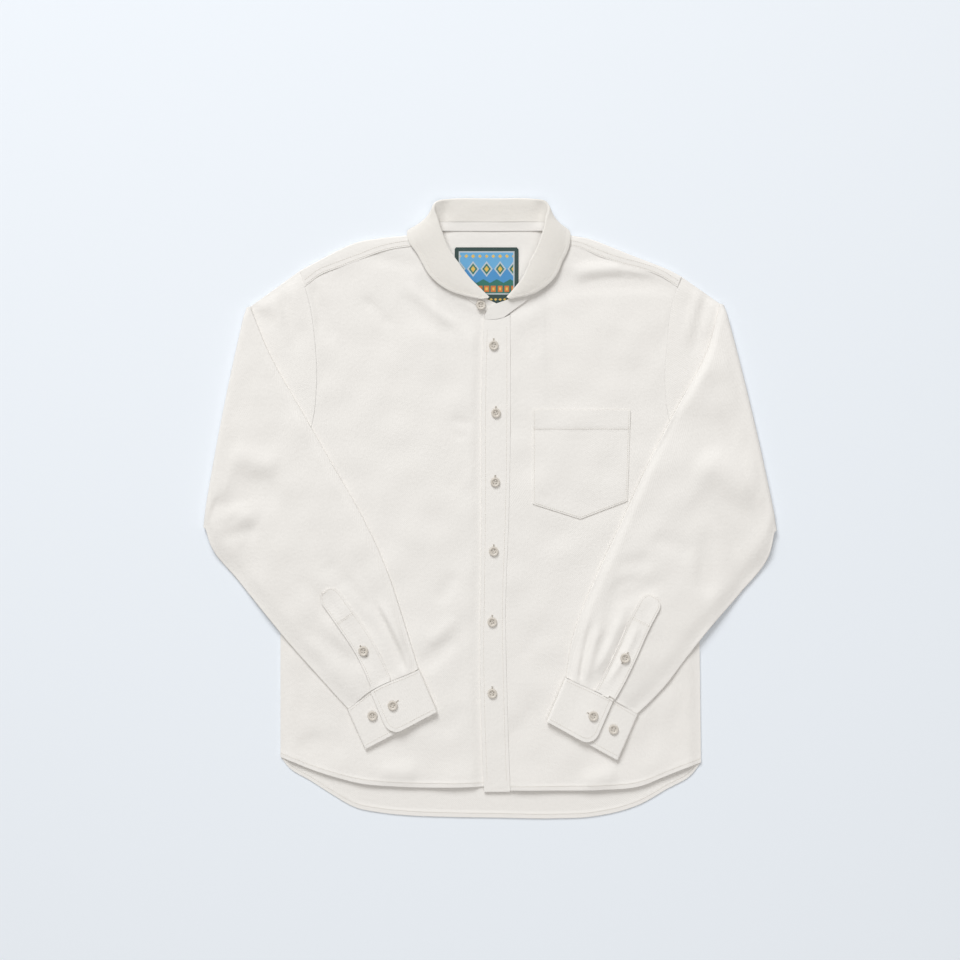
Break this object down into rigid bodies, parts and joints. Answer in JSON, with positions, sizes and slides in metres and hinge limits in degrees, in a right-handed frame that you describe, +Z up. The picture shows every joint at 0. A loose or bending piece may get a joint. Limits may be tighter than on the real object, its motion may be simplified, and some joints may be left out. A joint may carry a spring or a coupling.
{
  "type": "flannel shirt",
  "caption": "Cream flannel shirt laid flat on its back, buttoned, with a rounded collar, a chest pocket and both sleeves folded in over the front.",
  "frame": {"origin": "on the surface that the shirt lies on, below the middle of its outline", "axes": "+Z up from the surface, +Y from the hem towards the collar, +X towards the wearer's left"},
  "size_m": [0.7645, 0.8259, 0.0155],
  "materials": {
    "flannel": "brushed, matte",
    "doubled_flannel": "brushed, matte, two layers sewn together",
    "woven_label": "woven satin",
    "corozo": "satin, nut-like"
  },
  "bodies": {
    "root": {"back": "flannel", "yoke": "flannel", "front_right": "flannel", "front_left": "flannel", "placket": "doubled_flannel", "collar_band": "doubled_flannel", "collar_leaf": "doubled_flannel", "pocket": "flannel", "neck_label": "woven_label", "sleeve_left": "flannel", "sleeve_right": "flannel", "cuff_left": "doubled_flannel", "cuff_right": "doubled_flannel", "gauntlet_left": "doubled_flannel", "gauntlet_right": "doubled_flannel", "button_band": "corozo", "button_front_1": "corozo", "button_front_2": "corozo", "button_front_3": "corozo", "button_front_4": "corozo", "button_front_5": "corozo", "button_front_6": "corozo", "button_gauntlet_left": "corozo", "button_gauntlet_right": "corozo", "button_lap_left": "corozo", "button_lap_right": "corozo", "button_spare_left": "corozo", "button_spare_right": "corozo"}
  },
  "joints": []
}
